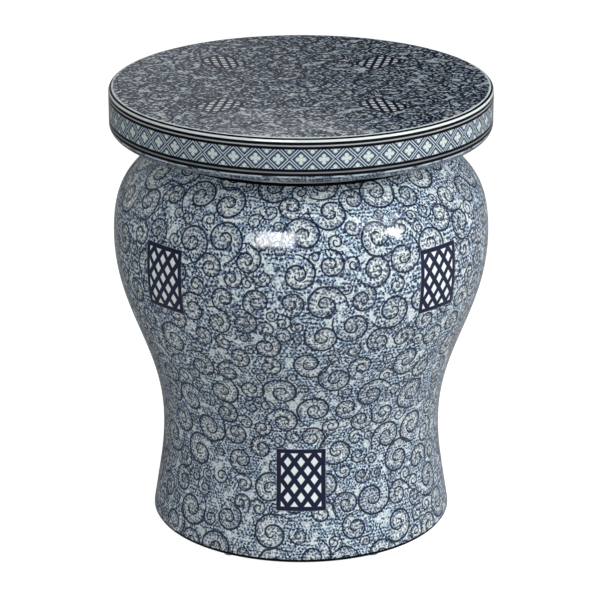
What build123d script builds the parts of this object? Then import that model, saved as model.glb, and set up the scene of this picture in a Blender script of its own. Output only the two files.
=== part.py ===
"""Garden stool: a hollow glazed jar body with a lift-off cap seat, on soft pads. Millimetres, +Z up."""

import os

from build123d import *

os.makedirs("parts", exist_ok=True)

# Seat: a flat round cap with a skirt, and a ring that drops into the neck
seat_height = 457.0
seat_radius = 192.0
seat_depth = 45.0
seat_plate = 11.0
seat_skirt = 12.0
seat_top_round = 4.5
seat_lower_round = 9.0
seat_lip_round = 2.5
seat_lip_flat = 0.5
seat_corner_round = 8.0
seat_overhang = 54.5
seat_gap = 14.0
ring_wall = 8.0
ring_depth = 22.0
ring_round = 2.0
ring_clearance = 2.5

# Soft pads under the foot, and soft bumpers between the neck and the seat
pad_radius = 5.5
pad_thickness = 2.0
pad_chamfer = 0.4
pad_count = 6
bumper_radius = 3.8
bumper_thickness = 2.0
bumper_chamfer = 0.5
bumper_count = 6

# Jar body: radii of the outer face, and the thickness of its wall
wall = 7.0
foot_radius = 154.5
foot_flare = 9.2
foot_land = 20.0
foot_ring_height = 24.0
foot_edge_round = 4.0
foot_inner_round = 3.0
waist_radius = 142.4
waist_height = 101.0
shoulder_radius = 189.7
shoulder_rise = 94.5
neck_slope = 42.0
neck_wall = 12.0
neck_root_round = 5.0
throat_round = 4.0
rim_round = 2.0

# How far each curve of the side holds its direction before it bends
foot_hold = 56.0
foot_inner_hold = 20.0
waist_hold_below = 28.0
waist_hold_above = 85.0
shoulder_hold_below = 77.0
shoulder_hold_above = 58.0
neck_hold = 45.0

# Heights and radii that follow from the sizes above
foot_base = pad_thickness
foot_inner_radius = foot_radius - foot_land
land_middle = foot_radius - foot_land / 2
foot_ring_top = foot_base + foot_ring_height
plate_underside = seat_height - seat_plate
skirt_underside = seat_height - seat_depth
skirt_inner_radius = seat_radius - seat_skirt
rim_height = plate_underside - bumper_thickness
neck_root_height = skirt_underside - seat_gap
shoulder_height = neck_root_height - shoulder_rise
neck_radius = seat_radius - seat_overhang
mouth_radius = neck_radius - neck_wall
rim_middle = neck_radius - neck_wall / 2
ring_radius = mouth_radius - ring_clearance
ring_inner_radius = ring_radius - ring_wall
ring_bottom = plate_underside - ring_depth


def belly_line(inset):
    """Waist to shoulder, moved towards the axis by inset."""
    Bezier(
        (waist_radius - inset, waist_height),
        (waist_radius - inset, waist_height + waist_hold_above),
        (shoulder_radius - inset, shoulder_height - shoulder_hold_below),
        (shoulder_radius - inset, shoulder_height),
    )


def shoulder_line(inset, end_radius):
    """Shoulder to the root of the neck, moved towards the axis and down by inset."""
    end = Vector(end_radius, neck_root_height - inset)
    Bezier(
        (shoulder_radius - inset, shoulder_height),
        (shoulder_radius - inset, shoulder_height + shoulder_hold_above),
        end + Vector(neck_hold, 0).rotate(Axis.Z, -neck_slope),
        end,
    )


# Jar body: one revolved wall, thicker at the foot ring and at the neck
with BuildPart() as jar_body:
    with BuildSketch(Plane.XZ):
        with BuildLine():
            foot_edge = Vector(foot_radius, foot_base)
            Line((foot_inner_radius, foot_base), foot_edge)
            Bezier(
                foot_edge,
                foot_edge + Vector(0, foot_hold).rotate(Axis.Z, foot_flare),
                (waist_radius, waist_height - waist_hold_below),
                (waist_radius, waist_height),
            )
            belly_line(0)
            shoulder_line(0, neck_radius)
            Polyline(
                (neck_radius, neck_root_height),
                (neck_radius, rim_height),
                (mouth_radius, rim_height),
                (mouth_radius, neck_root_height - wall),
            )
            shoulder_line(wall, mouth_radius)
            belly_line(wall)
            Bezier(
                (waist_radius - wall, waist_height),
                (waist_radius - wall, waist_height - waist_hold_below),
                (foot_inner_radius, foot_ring_top + foot_inner_hold),
                (foot_inner_radius, foot_ring_top),
            )
            Line((foot_inner_radius, foot_ring_top), (foot_inner_radius, foot_base))
        make_face()
    revolve(axis=Axis.Z)
    circles = jar_body.edges().filter_by(GeomType.CIRCLE).group_by(Axis.Z)
    foot_inner_edge, foot_outer_edge = circles[0].sort_by(SortBy.RADIUS)
    throat_edge, neck_root, rim_edges = circles[-3:]
    fillet(foot_outer_edge, foot_edge_round)
    fillet(foot_inner_edge, foot_inner_round)
    fillet(throat_edge, throat_round)
    fillet(neck_root, neck_root_round)
    fillet(rim_edges, rim_round)
jar_body.part.label = "jar_body"
export_step(jar_body.part, "parts/jar_body.step")

# Seat: plate, skirt with a rounded lip, and locating ring, revolved as one casting
with BuildPart() as seat_top:
    with BuildSketch(Plane.XZ):
        with BuildLine():
            Polyline(
                (0, plate_underside),
                (ring_inner_radius, plate_underside),
                (ring_inner_radius, ring_bottom),
                (ring_radius, ring_bottom),
                (ring_radius, plate_underside),
                (skirt_inner_radius, plate_underside),
                (skirt_inner_radius, skirt_underside),
                (seat_radius, skirt_underside),
                (seat_radius, seat_height),
                (0, seat_height),
                close=True,
            )
        make_face()
    revolve(axis=Axis.Z)
    circles = seat_top.edges().filter_by(GeomType.CIRCLE).group_by(SortBy.RADIUS)
    ring_inner, ring_outer, skirt_inner, skirt_outer = [group.sort_by(Axis.Z) for group in circles]
    fillet(skirt_outer[-1], seat_top_round)
    fillet(skirt_outer[0], min(seat_lower_round, seat_skirt - seat_lip_round - seat_lip_flat))
    fillet(skirt_inner[0], seat_lip_round)
    fillet(skirt_inner[-1], seat_corner_round)
    fillet([ring_inner[0], ring_outer[0]], ring_round)
seat_top.part.label = "seat_top"
export_step(seat_top.part, "parts/seat_top.step")

# Foot pads: soft discs under the foot ring, with a chamfered lower edge
for number in range(1, pad_count + 1):
    with BuildPart() as foot_pad:
        with BuildSketch(Plane.XY):
            with PolarLocations(land_middle, 1, start_angle=number * 360 / pad_count):
                Circle(pad_radius)
        extrude(amount=pad_thickness)
        chamfer(foot_pad.edges().filter_by(GeomType.CIRCLE).sort_by(Axis.Z)[0], pad_chamfer)
    foot_pad.part.label = f"foot_pad_{number}"
    export_step(foot_pad.part, f"parts/foot_pad_{number}.step")

# Seat bumpers: soft discs stuck to the rim of the neck, with a chamfered upper edge
for number in range(1, bumper_count + 1):
    with BuildPart() as seat_bumper:
        with BuildSketch(Plane.XY.offset(rim_height)):
            with PolarLocations(rim_middle, 1, start_angle=number * 360 / bumper_count):
                Circle(bumper_radius)
        extrude(amount=bumper_thickness)
        chamfer(seat_bumper.edges().filter_by(GeomType.CIRCLE).sort_by(Axis.Z)[-1], bumper_chamfer)
    seat_bumper.part.label = f"seat_bumper_{number}"
    export_step(seat_bumper.part, f"parts/seat_bumper_{number}.step")
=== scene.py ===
"""Garden stool: a glazed jar with a lift-off cap seat, painted in cobalt scrolls, dressed round the frame."""
import logging
import math
from dataclasses import dataclass, field
from enum import Enum

import bpy
import numpy as np
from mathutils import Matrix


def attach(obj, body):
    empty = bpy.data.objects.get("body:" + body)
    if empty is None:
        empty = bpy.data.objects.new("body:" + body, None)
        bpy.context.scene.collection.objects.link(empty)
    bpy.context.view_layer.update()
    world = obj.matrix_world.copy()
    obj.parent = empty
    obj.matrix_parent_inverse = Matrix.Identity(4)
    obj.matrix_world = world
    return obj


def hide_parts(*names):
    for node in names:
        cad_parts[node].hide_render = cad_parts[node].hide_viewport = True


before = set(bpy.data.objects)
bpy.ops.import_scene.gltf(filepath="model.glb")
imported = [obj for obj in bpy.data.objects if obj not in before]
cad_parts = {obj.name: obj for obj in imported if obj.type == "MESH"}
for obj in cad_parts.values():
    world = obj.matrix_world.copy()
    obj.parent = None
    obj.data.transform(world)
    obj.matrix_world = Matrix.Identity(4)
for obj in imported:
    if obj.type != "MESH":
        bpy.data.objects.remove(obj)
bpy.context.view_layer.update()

log = logging.getLogger("garden_stool")
MM = 0.001
FULL_TURN = 2 * math.pi
FLAT_MARGIN, FLAT_WIDTH = 0.004, 0.992

Colour = tuple[float, float, float, float]
Number = "Term | float"


class Zone(Enum):
    """Parts of a turned surface that carry one finish each."""

    PAINTED = 0
    PLAIN = 1
    BISCUIT = 2
    RIM = 3


class Throw(Enum):
    """What a lamp does: it lights surfaces, or is only mirrored in glossy ones, as a box or a round lamp."""

    LIGHT = "light"
    BOX = "mirrored box"
    ROUND = "mirrored round lamp"


def paint_colour(red: int, green: int, blue: int) -> Colour:
    """Turns a colour as a screen shows it into the linear values that shaders use.

    Args:
        red: Share of red, 0 to 255.
        green: Share of green, 0 to 255.
        blue: Share of blue, 0 to 255.

    Returns:
        Linear red, green and blue, and an alpha of 1.
    """
    shown = np.array([red, green, blue]) / 255
    linear = np.where(shown <= 0.04045, shown / 12.92, ((shown + 0.055) / 1.055) ** 2.4)
    return (*linear.tolist(), 1.0)


def bezier(start: tuple, start_hold: tuple, end_hold: tuple, end: tuple, count: int) -> np.ndarray:
    """Cubic curve: the four control points weighted by (1-t)^3, 3t(1-t)^2, 3t^2(1-t) and t^3, spaced by length.

    Args:
        start: First point, radius and height.
        start_hold: Control point that sets the direction at the start.
        end_hold: Control point that sets the direction at the end.
        end: Last point.
        count: How many points to give back.

    Returns:
        Array of count points, evenly spaced along the curve.
    """
    t = np.linspace(0, 1, 400)[:, None]
    corners = [np.array(corner, float) for corner in (start, start_hold, end_hold, end)]
    weights = ((1 - t) ** 3, 3 * t * (1 - t) ** 2, 3 * t**2 * (1 - t), t**3)
    return evenly(sum(weight * corner for weight, corner in zip(weights, corners)), count)


def run_of(points: np.ndarray) -> np.ndarray:
    """Length along a line of points, from its first point to each of them."""
    return np.concatenate([[0.0], np.cumsum(np.hypot(*np.diff(points, axis=0).T))])


def evenly(points: np.ndarray, count: int) -> np.ndarray:
    """The same line, with count points spaced evenly by length."""
    run = run_of(points)
    at = np.linspace(0, run[-1], count)
    return np.column_stack([np.interp(at, run, points[:, side]) for side in (0, 1)])


def straight(start: tuple, end: tuple, count: int) -> np.ndarray:
    """A straight line of count points."""
    return np.linspace(start, end, count)


def rounded(before: tuple, corner: tuple, after: tuple, radius: float, count: int) -> np.ndarray:
    """A rounded corner: the arc that touches both lines, swept from the first one's direction to the second's.

    Args:
        before: A point on the line that comes in.
        corner: Where the two lines meet.
        after: A point on the line that goes out.
        radius: Radius of the arc.
        count: How many points to give back.

    Returns:
        Array of count points along the arc.
    """
    middle = np.array(corner, float)
    came = (middle - before) / np.linalg.norm(middle - before)
    goes = (after - middle) / np.linalg.norm(after - middle)
    turn = math.acos(float(np.clip(came @ goes, -1, 1)))
    side = np.sign(came[0] * goes[1] - came[1] * goes[0])
    inward = side * np.array([-came[1], came[0]])
    start = middle - came * radius * math.tan(turn / 2)
    sweep = np.linspace(0, turn, count)[:, None]
    return start + radius * (inward * (1 - np.cos(sweep)) + came * np.sin(sweep))


@dataclass
class Outline:
    """A turned piece's outline, put together from stretches, each with its own zone."""

    points: list[np.ndarray] = field(default_factory=list)
    zones: list[Zone] = field(default_factory=list)

    def add(self, stretch: np.ndarray, zone: Zone) -> None:
        """Adds a stretch that starts where the last one ended, leaving out the doubled point.

        Args:
            stretch: Points, radius and height in millimetres.
            zone: Which finish its faces take.
        """
        met = bool(self.points) and np.allclose(self.points[-1][-1], stretch[0], atol=1e-6)
        if self.points and not met:
            self.zones.append(zone)
        self.zones.extend([zone] * (len(stretch) - 1))
        self.points.append(stretch[1:] if met else stretch)

    def round_off(self, arc: np.ndarray, steps: int, zone: Zone) -> None:
        """Adds a straight stretch of so many points up to an arc, and then the arc."""
        self.add(straight(self.points[-1][-1], arc[0], steps), zone)
        self.add(arc, zone)

    def line(self) -> np.ndarray:
        """All the points in order."""
        return np.concatenate(self.points)


@dataclass
class Lathe:
    """A surface turned round the Z axis: each outline point makes a ring, and rings are joined by faces.

    Angles are measured from the front, to the right as seen from there, so the seam is at the back.
    A looped outline closes on itself; another starts and ends on the axis, where a ring is a single point.
    """

    name: str
    outline: Outline
    columns: int
    looped: bool

    def __post_init__(self) -> None:
        """Lists each face corner's row on the outline and its angle, and builds the mesh."""
        line = self.outline.line()
        self.line = line[:-1] if self.looped else line
        self.zones = np.array([zone.value for zone in self.outline.zones])
        rings, steps = len(self.line), np.arange(self.columns)
        lower = np.arange(rings) if self.looped else np.arange(1, rings - 2)
        row, column = (a.ravel() for a in np.meshgrid(lower, steps, indexing="ij"))
        self.rows = np.stack([row, row, row + 1, row + 1], 1).ravel()
        around = np.stack([column, column + 1, column + 1, column], 1).ravel()
        self.sides = np.full(len(row), 4)
        if not self.looped:
            middle = steps + 0.5
            first, last = np.tile([0, 1, 1], self.columns), np.tile([-2, -2, -1], self.columns) + rings
            self.rows = np.concatenate([first, self.rows, last])
            around = np.concatenate([np.stack([middle, steps + 1, steps], 1).ravel(), around,
                                     np.stack([steps, steps + 1, middle], 1).ravel()])
            self.sides = np.pad(self.sides, self.columns, constant_values=3)
        self.starts = np.concatenate([[0], np.cumsum(self.sides)[:-1]])
        self.angle = (around / self.columns - 0.5) * FULL_TURN
        self.mesh = self.turn(np.round(around).astype(int) % self.columns)

    def face_mean(self, values: np.ndarray) -> np.ndarray:
        """Mean over each face of a value that its corners carry."""
        return np.add.reduceat(values, self.starts, axis=0) / (
            self.sides if values.ndim == 1 else self.sides[:, None])

    def half_turns(self) -> tuple[np.ndarray, np.ndarray]:
        """Which face corners are on the front half, and each corner's angle from where its half starts."""
        middle = self.face_mean(self.angle)
        front = np.repeat(np.abs(middle) < math.pi / 2, self.sides)
        past_seam = np.repeat(middle < 0, self.sides)
        behind = self.angle - math.pi / 2 + np.where(past_seam, FULL_TURN, 0.0)
        return front, np.where(front, self.angle + math.pi / 2, behind)

    def turn(self, columns: np.ndarray) -> bpy.types.Mesh:
        """Builds the mesh: x = r sin(angle), y = -r cos(angle), z = height, in metres.

        Args:
            columns: Column of each face corner.

        Returns:
            The mesh, smooth shaded, with faces that point outwards.
        """
        angle = (np.arange(self.columns) / self.columns - 0.5) * FULL_TURN
        radius, height = self.line[:, :1] * MM, self.line[:, 1:] * MM
        points = np.stack([radius * np.sin(angle), -radius * np.cos(angle), height + 0 * angle], 2)
        index = (self.rows % len(self.line)) * self.columns + columns
        vertices = points.reshape(-1, 3)
        if not self.looped:
            vertices = vertices[self.columns - 1:len(vertices) - self.columns + 1]
            index = np.clip(index - self.columns + 1, 0, len(vertices) - 1)
        mesh = bpy.data.meshes.new(self.name)
        mesh.vertices.add(len(vertices))
        mesh.vertices.foreach_set("co", vertices.astype(np.float32).ravel())
        mesh.loops.add(len(index))
        mesh.loops.foreach_set("vertex_index", index.astype(np.int32))
        mesh.polygons.add(len(self.starts))
        mesh.polygons.foreach_set("loop_start", self.starts.astype(np.int32))
        mesh.polygons.foreach_set("use_smooth", np.ones(len(self.starts), bool))
        mesh.update(calc_edges=True)
        return mesh

    def hold_corners(self, name: str, values: np.ndarray) -> None:
        """Stores a vector at every face corner under a name that finishes can read."""
        data = self.mesh.attributes.new(name, "FLOAT_VECTOR", "CORNER").data
        data.foreach_set("vector", values.astype(np.float32).ravel())

    def hold_faces(self, name: str, values: np.ndarray, faces: np.ndarray) -> None:
        """Stores vectors on some faces under a name that finishes can read; other faces keep theirs.

        Args:
            name: Name to store them under.
            values: The vectors.
            faces: Which faces they are for.
        """
        kept = self.mesh.attributes.get(name)
        if kept is None:
            kept = self.mesh.attributes.new(name, "FLOAT_VECTOR", "FACE")
        held = np.zeros(3 * len(faces), np.float32)
        kept.data.foreach_get("vector", held)
        held.reshape(-1, 3)[faces] = values
        kept.data.foreach_set("vector", held)

    def lay_flat(self, places: np.ndarray) -> None:
        """Gives the mesh its own flat layout for baking, one place for every face corner."""
        layer = self.mesh.uv_layers.new(name="OFBake")
        layer.uv.foreach_set("vector", places.astype(np.float32).ravel())

    def dress(self, zones: np.ndarray, finishes: dict[Zone, bpy.types.Material]) -> None:
        """Gives every face its zone's finish.

        Args:
            zones: Value of each face's zone.
            finishes: Material of each zone on the piece.
        """
        slots = np.zeros(len(Zone), np.int32)
        for number, (zone, material) in enumerate(finishes.items()):
            self.mesh.materials.append(material)
            slots[zone.value] = number
        self.mesh.polygons.foreach_set("material_index", slots[zones])


@dataclass
class CurlSize:
    """One size of curl: its least and greatest radius in millimetres, and the surface each one has."""

    least: float
    most: float
    surface: float


@dataclass
class ScrollLayout:
    """Curls laid out over a painted surface so that none overlaps another.

    Every curl fills a disc. It winds in towards its pole, which lies off the disc's middle, away from the tail.
    Its turn is its first radius, the share of a turn at which it starts, and how fast it winds in, with a minus
    sign for a curl that winds the other way.
    """

    seed: int
    around: float = 0.0
    gap: float = 0.7
    slowest: float = 0.74
    fastest: float = 0.92
    sizes: tuple[CurlSize, ...] = (
        CurlSize(14.0, 17.0, 2700.0), CurlSize(10.5, 13.5, 2500.0), CurlSize(6.8, 9.0, 1900.0),
        CurlSize(4.8, 6.2, 3200.0))
    discs: np.ndarray = field(default_factory=lambda: np.zeros((0, 4)))
    poles: np.ndarray = field(default_factory=lambda: np.zeros((0, 3)))
    turns: np.ndarray = field(default_factory=lambda: np.zeros((0, 3)))

    def away(self, points: np.ndarray, disc: np.ndarray) -> np.ndarray:
        """Steps on the chart from a disc's middle to points, the short way round where the chart closes."""
        step = points - disc[:2]
        if self.around:
            step[:, 0] -= self.around * np.round(step[:, 0] / self.around)
        return step

    def lay(self, points: np.ndarray, scale: np.ndarray, surface: float) -> None:
        """Puts the curls down, largest first.

        A point with enough free room takes a curl, and every other point's free room then shrinks to its
        distance from that curl's edge. Each tail starts at the neighbour that is nearest.

        Args:
            points: Places on the chart where a curl may stand, spread evenly over the surface.
            scale: Millimetres to one unit of the chart at each place.
            surface: Area to cover, in square millimetres.
        """
        rng = np.random.default_rng(self.seed)
        room = np.full(len(points), np.inf)
        discs = []
        for size in self.sizes:
            for _ in range(int(surface / size.surface)):
                free = np.flatnonzero(room >= size.least + self.gap)
                if not len(free):
                    break
                pick = rng.choice(free)
                radius = min(room[pick] - self.gap, rng.uniform(size.least, size.most))
                disc = np.array([*points[pick], scale[pick], radius])
                discs.append(disc)
                room = np.minimum(room, np.hypot(*self.away(points, disc).T) * disc[2] - radius)
        self.discs = np.array(discs)
        radii = self.discs[:, 3]
        tails = np.zeros(len(radii))
        for number, disc in enumerate(self.discs):
            step = self.away(self.discs[:, :2].copy(), disc) * disc[2]
            clear = np.hypot(*step.T) - radii
            clear[number] = np.inf
            nearest = np.argmin(clear)
            tails[number] = np.arctan2(step[nearest, 1], step[nearest, 0]) / FULL_TURN
        hands = rng.choice([-1.0, 1.0], len(radii))
        rates = rng.uniform(self.slowest, self.fastest, len(radii))
        near_side, far_side = np.exp(-0.1 * rates), np.exp(-0.6 * rates)
        firsts = 2 * radii / (near_side + far_side)
        shift = firsts * (near_side - far_side) / 2 / self.discs[:, 2]
        facing = FULL_TURN * (tails + 0.6 * hands)
        self.poles = self.discs[:, :3] + np.column_stack(
            [shift * np.cos(facing), shift * np.sin(facing), 0 * shift])
        self.turns = np.column_stack([firsts, hands * tails, hands * rates])

    def mark(self, lathe: Lathe, places: np.ndarray, painted: np.ndarray) -> None:
        """Tells every painted face which two curls are nearest to it.

        Args:
            lathe: The surface that carries the faces.
            places: Middle of each face on the chart.
            painted: Which of the faces this layout covers.
        """
        faces = places[painted]
        best = np.full((2, len(faces)), np.inf)
        which = np.zeros((2, len(faces)), int)
        for number, disc in enumerate(self.discs):
            clear = np.hypot(*self.away(faces.copy(), disc).T) * disc[2] - disc[3]
            first, second = clear < best[0], clear < best[1]
            which[1] = np.where(first, which[0], np.where(second, number, which[1]))
            best[1] = np.where(first, best[0], np.where(second, clear, best[1]))
            which[0] = np.where(first, number, which[0])
            best[0] = np.where(first, clear, best[0])
        for name, curls in zip(("curl_a", "curl_b"), which):
            near = self.poles[curls]
            if self.around:
                near[:, 0] += self.around * np.round((faces[:, 0] - near[:, 0]) / self.around)
            lathe.hold_faces(name, near, painted)
            lathe.hold_faces(name + "_turn", self.turns[curls], painted)


class Term:
    """A number or colour inside a shader tree, which takes part in sums as a float does."""

    def __init__(self, recipe: "Recipe", socket: bpy.types.NodeSocket) -> None:
        """Holds the socket that gives the number, and the recipe it belongs to."""
        self.recipe = recipe
        self.socket = socket

    def __add__(self, other: Number) -> "Term":
        """Sum of two numbers."""
        return self.recipe.math("ADD", self, other)

    def __sub__(self, other: Number) -> "Term":
        """This number less another."""
        return self.recipe.math("SUBTRACT", self, other)

    def __rsub__(self, other: float) -> "Term":
        """A plain number less this one."""
        return self.recipe.math("SUBTRACT", other, self)

    def __mul__(self, other: Number) -> "Term":
        """Product of two numbers."""
        return self.recipe.math("MULTIPLY", self, other)

    def __truediv__(self, other: Number) -> "Term":
        """This number divided by another."""
        return self.recipe.math("DIVIDE", self, other)

    def __gt__(self, other: Number) -> "Term":
        """1 where this number is the greater, and 0 elsewhere."""
        return self.recipe.math("GREATER_THAN", self, other)

    def __lt__(self, other: Number) -> "Term":
        """1 where this number is the lesser, and 0 elsewhere."""
        return self.recipe.math("LESS_THAN", self, other)

    def __abs__(self) -> "Term":
        """This number without its sign."""
        return self.recipe.math("ABSOLUTE", self)

    __radd__ = __add__
    __rmul__ = __mul__


class Recipe:
    """The nodes of one finish, or of an effect that several finishes share."""

    def __init__(self, tree: bpy.types.NodeTree) -> None:
        """Writes into the tree given."""
        self.tree = tree

    @classmethod
    def shared(cls, name: str, takes: dict[str, str], gives: dict[str, str]) -> "tuple[Recipe, dict[str, Term]]":
        """Starts a node group for an effect that several finishes share.

        Args:
            name: Name of the group.
            takes: Names of its inputs, each with Float, Vector or Color.
            gives: Names of its outputs, in the same way.

        Returns:
            The recipe to write the effect in, and its inputs by name.
        """
        tree = bpy.data.node_groups.new(name, "ShaderNodeTree")
        for names, side in ((takes, "INPUT"), (gives, "OUTPUT")):
            for socket, kind in names.items():
                tree.interface.new_socket(name=socket, in_out=side, socket_type="NodeSocket" + kind)
        recipe = cls(tree)
        inputs = recipe.node("NodeGroupInput").outputs
        return recipe, {socket: Term(recipe, inputs[socket]) for socket in takes}

    def node(self, kind: str, **settings: object) -> bpy.types.Node:
        """Adds a node and sets what is named."""
        made = self.tree.nodes.new(kind)
        for name, value in settings.items():
            setattr(made, name, value)
        return made

    def feed(self, socket: bpy.types.NodeSocket, value: object) -> None:
        """Links a term to a socket, or sets a plain value on it."""
        if isinstance(value, Term):
            self.tree.links.new(value.socket, socket)
        else:
            socket.default_value = value

    def give(self, **values: Number) -> None:
        """Closes a shared effect: each output by its name."""
        ends = self.node("NodeGroupOutput").inputs
        for name, value in values.items():
            self.feed(ends[name], value)

    def use(self, group: bpy.types.NodeTree, **values: object) -> dict[str, Term]:
        """Places a shared effect with its own values, and gives back its outputs by name."""
        made = self.node("ShaderNodeGroup", node_tree=group)
        for name, value in values.items():
            self.feed(made.inputs[name], value)
        return {socket.name: Term(self, socket) for socket in made.outputs}

    def math(self, operation: str, *values: Number) -> Term:
        """One sum of one to three numbers."""
        made = self.node("ShaderNodeMath", operation=operation)
        for socket, value in zip(made.inputs, values):
            self.feed(socket, value)
        return Term(self, made.outputs[0])

    def smooth(self, low: Number, high: Number, value: Term) -> Term:
        """0 below low, 1 above high, and a smooth rise between them."""
        made = self.node("ShaderNodeMapRange", interpolation_type="SMOOTHSTEP")
        for name, number in (("Value", value), ("From Min", low), ("From Max", high)):
            self.feed(made.inputs[name], number)
        return Term(self, made.outputs["Result"])

    def within(self, half: Number, value: Term, soft: float = 0.28) -> Term:
        """1 where a distance is less than half a width, with a soft edge."""
        return 1.0 - self.smooth(half - soft, half + soft, value)

    def most(self, first: Term, *others: Term) -> Term:
        """The greatest of several numbers."""
        for other in others:
            first = self.math("MAXIMUM", first, other)
        return first

    def parts(self, vector: Term) -> tuple[Term, Term, Term]:
        """The three numbers of a vector."""
        made = self.node("ShaderNodeSeparateXYZ")
        self.feed(made.inputs[0], vector)
        return tuple(Term(self, socket) for socket in made.outputs)

    def stored(self, name: str) -> Term:
        """A vector that the mesh carries under a name."""
        return Term(self, self.node("ShaderNodeAttribute", attribute_name=name).outputs["Vector"])

    def place(self) -> Term:
        """Where a point of the piece lies, in metres."""
        return Term(self, self.node("ShaderNodeTexCoord").outputs["Object"])

    def blend(self, share: Number, under: object, over: object) -> Term:
        """Two colours mixed: a share of 0 is all the first, and 1 all the second."""
        made = self.node("ShaderNodeMix", data_type="RGBA")
        for socket, value in ((0, share), (6, under), (7, over)):
            self.feed(made.inputs[socket], value)
        return Term(self, made.outputs[2])

    def noise(self, place: Term, scale: float, detail: float = 2.0, output: str = "Fac") -> Term:
        """Cloudy noise, with so many clouds to the metre: one number, or as Color three of them."""
        made = self.node("ShaderNodeTexNoise")
        self.feed(made.inputs["Vector"], place)
        made.inputs["Scale"].default_value = scale
        made.inputs["Detail"].default_value = detail
        return Term(self, made.outputs[output])

    def scaled(self, place: Term, factors: tuple[float, float, float]) -> Term:
        """A place with each of its parts multiplied by its own factor."""
        made = self.node("ShaderNodeVectorMath", operation="MULTIPLY")
        self.feed(made.inputs[0], place)
        made.inputs[1].default_value = factors
        return Term(self, made.outputs[0])

    def length(self, across: Term, up: Term) -> Term:
        """Length of a step across and up."""
        return self.math("SQRT", across * across + up * up)


def new_finish(name: str) -> tuple[bpy.types.Material, Recipe, bpy.types.Node]:
    """Starts a material, and gives it back with its recipe and its shader."""
    made = bpy.data.materials.new(name)
    made.use_nodes = True
    return made, Recipe(made.node_tree), made.node_tree.nodes["Principled BSDF"]


@dataclass(frozen=True)
class Palette:
    """Colours of the painting, as linear values."""

    cream: Colour = paint_colour(236, 246, 246)
    pale: Colour = paint_colour(210, 226, 234)
    white: Colour = paint_colour(222, 229, 230)
    wash: Colour = paint_colour(80, 108, 140)
    violet_wash: Colour = paint_colour(104, 119, 150)
    pale_wash: Colour = paint_colour(144, 170, 194)
    lattice_blue: Colour = paint_colour(88, 114, 138)
    lattice_pale: Colour = paint_colour(186, 202, 213)
    flower: Colour = paint_colour(206, 218, 214)
    upper_grey: Colour = paint_colour(172, 176, 178)
    lower_grey: Colour = paint_colour(124, 128, 132)
    # Painted shade: streaked dark and pale greys that darken the underside of the seat's rim.
    underside_shade_dark: Colour = paint_colour(30, 38, 54)
    underside_shade_pale: Colour = paint_colour(112, 124, 140)
    glaze_dull: Colour = paint_colour(206, 212, 210)
    glaze_clear: Colour = paint_colour(222, 226, 222)
    ink: Colour = paint_colour(20, 27, 52)
    line_ink: Colour = paint_colour(8, 11, 18)
    crest_ink: Colour = paint_colour(14, 18, 54)


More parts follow.
